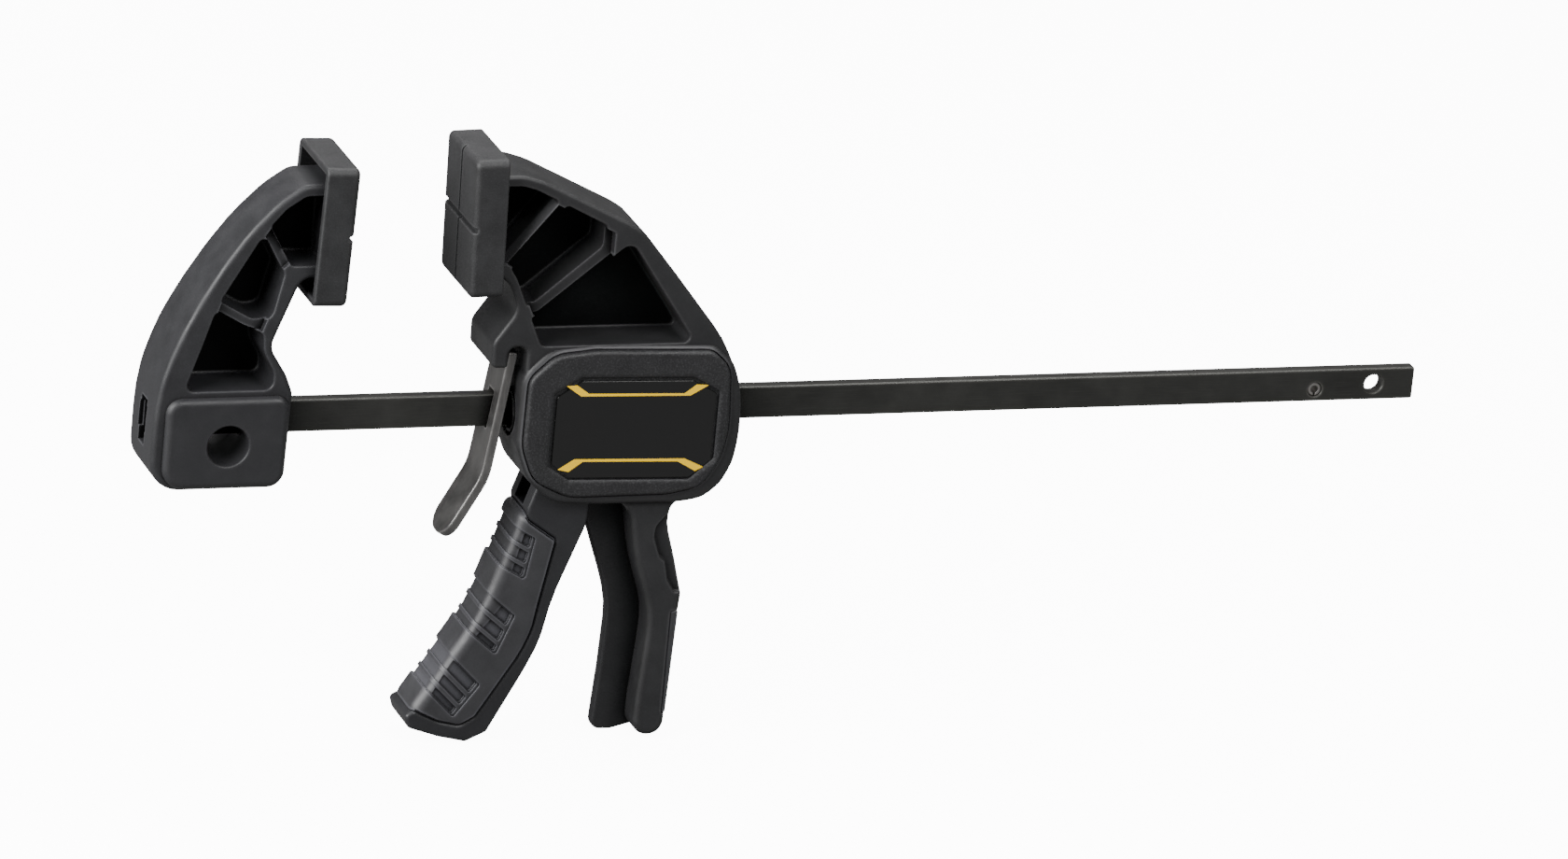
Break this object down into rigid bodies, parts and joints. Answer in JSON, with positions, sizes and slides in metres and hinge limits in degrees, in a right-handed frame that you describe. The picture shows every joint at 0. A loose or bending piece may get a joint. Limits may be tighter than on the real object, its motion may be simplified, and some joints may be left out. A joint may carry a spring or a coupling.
{
  "type": "trigger bar clamp",
  "caption": "Trigger bar clamp: a jaw fixed to a flat steel bar and a sliding jaw with squeeze trigger, palm handle, release lever and rubber pads.",
  "frame": {"origin": "under the middle of the clamp's overall box, on its lowest point", "axes": "+X along the bar from the fixed jaw to the bar's free end, +Z from the handle end up to the clamping pads, +Y across the bar, away from the badge side"},
  "size_m": [0.556, 0.042, 0.2586],
  "materials": {
    "bar_steel": "blackened steel bar, satin, worn lighter along its rounded edges",
    "pin_steel": "zinc plated steel, satin",
    "plate_steel": "bare hardened steel plate, brushed, slightly brown",
    "spring_steel": "dark phosphated spring wire",
    "jaw_nylon": "charcoal glass-filled nylon with a fine mould texture",
    "body_nylon": "charcoal glass-filled nylon with a fine mould texture",
    "cover_nylon": "charcoal glass-filled nylon with a coarser mould texture",
    "trigger_nylon": "charcoal glass-filled nylon, smooth satin",
    "pad_rubber": "firm grey-black rubber, dull",
    "grip_rubber": "soft black over-moulded rubber, slight sheen",
    "badge_gloss": "gloss black plate with a plain yellow border line, no lettering"
  },
  "bodies": {
    "bar": {"bar": "bar_steel", "stop_pin": "pin_steel", "jaw_pin": "pin_steel", "fixed_jaw": "jaw_nylon", "fixed_pad": "pad_rubber"},
    "slider": {"slider_body": "body_nylon", "cover_front": "cover_nylon", "cover_rear": "cover_nylon", "badge": "badge_gloss", "cover_screw_1": "pin_steel", "cover_screw_2": "pin_steel", "cover_screw_3": "pin_steel", "cover_screw_4": "pin_steel", "moving_pad": "pad_rubber", "handle_insert": "grip_rubber", "trigger_pin": "pin_steel", "drive_spring": "spring_steel", "brake_spring": "spring_steel"},
    "trigger": {"trigger": "trigger_nylon", "trigger_grip": "grip_rubber"},
    "drive_plates": {"drive_plate_a": "plate_steel", "drive_plate_b": "plate_steel"},
    "release_lever": {"release_lever": "plate_steel"}
  },
  "joints": [
    {"name": "jaw_slide", "type": "slide", "parent": "bar", "child": "slider", "axis": [1, 0, 0], "range_m": [-0.047, 0.256]},
    {"name": "trigger_pull", "type": "hinge", "parent": "slider", "child": "trigger", "pos_m": [-0.102, 0, 0.1618], "axis": [0, -1, 0], "range_deg": [0, 13], "stiffness_Nm_per_rad": 1.2, "springref_deg": -8.59},
    {"name": "plates_slide", "type": "slide", "parent": "slider", "child": "drive_plates", "axis": [1, 0, 0], "range_m": [0, 0.0074], "deforming": ["drive_spring"]},
    {"name": "release_pull", "type": "hinge", "parent": "slider", "child": "release_lever", "pos_m": [-0.1254, 0, 0.1722], "axis": [0, -1, 0], "range_deg": [0, 6], "stiffness_Nm_per_rad": 0.8, "springref_deg": -4.58, "deforming": ["brake_spring"]}
  ],
  "couplings": [
    {"joint": "plates_slide", "follows": "trigger_pull", "m_per_rad": 0.03}
  ]
}
